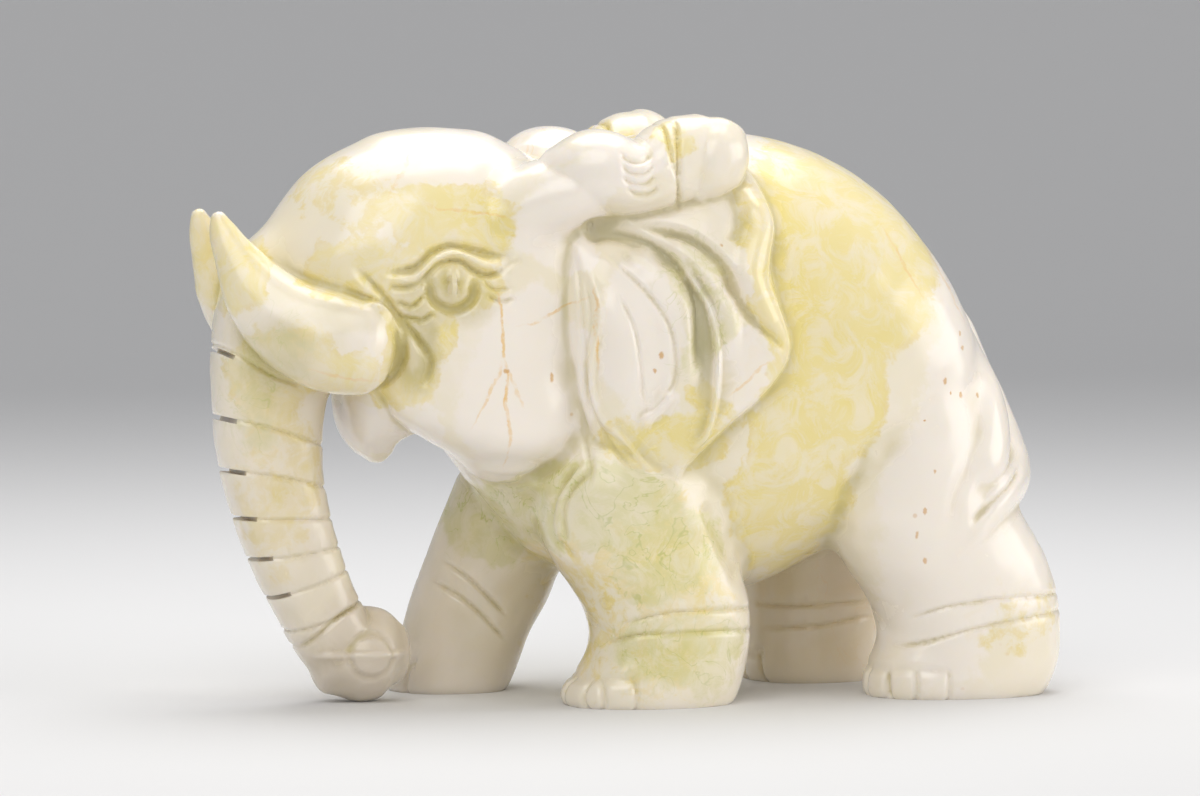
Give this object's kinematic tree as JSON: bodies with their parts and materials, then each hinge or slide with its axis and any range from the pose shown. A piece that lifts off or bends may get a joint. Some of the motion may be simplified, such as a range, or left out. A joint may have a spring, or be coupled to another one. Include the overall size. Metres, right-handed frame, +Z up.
{
  "type": "elephant statuette",
  "caption": "Solid carved-stone elephant in mid stride: trunk curled down to the ground, tusks raised, standing on its flat soles.",
  "frame": {"origin": "Middle of the overall footprint, on the plane of the four soles (Z = 0).", "axes": "+X from head to tail along the length, +Y to the figure's right side (the side away from the finished face), +Z up from the soles to the back."},
  "size_m": [0.239, 0.1092, 0.162],
  "materials": {
    "serpentine": "polished, waxy"
  },
  "bodies": {
    "root": {"elephant": "serpentine"}
  },
  "joints": []
}
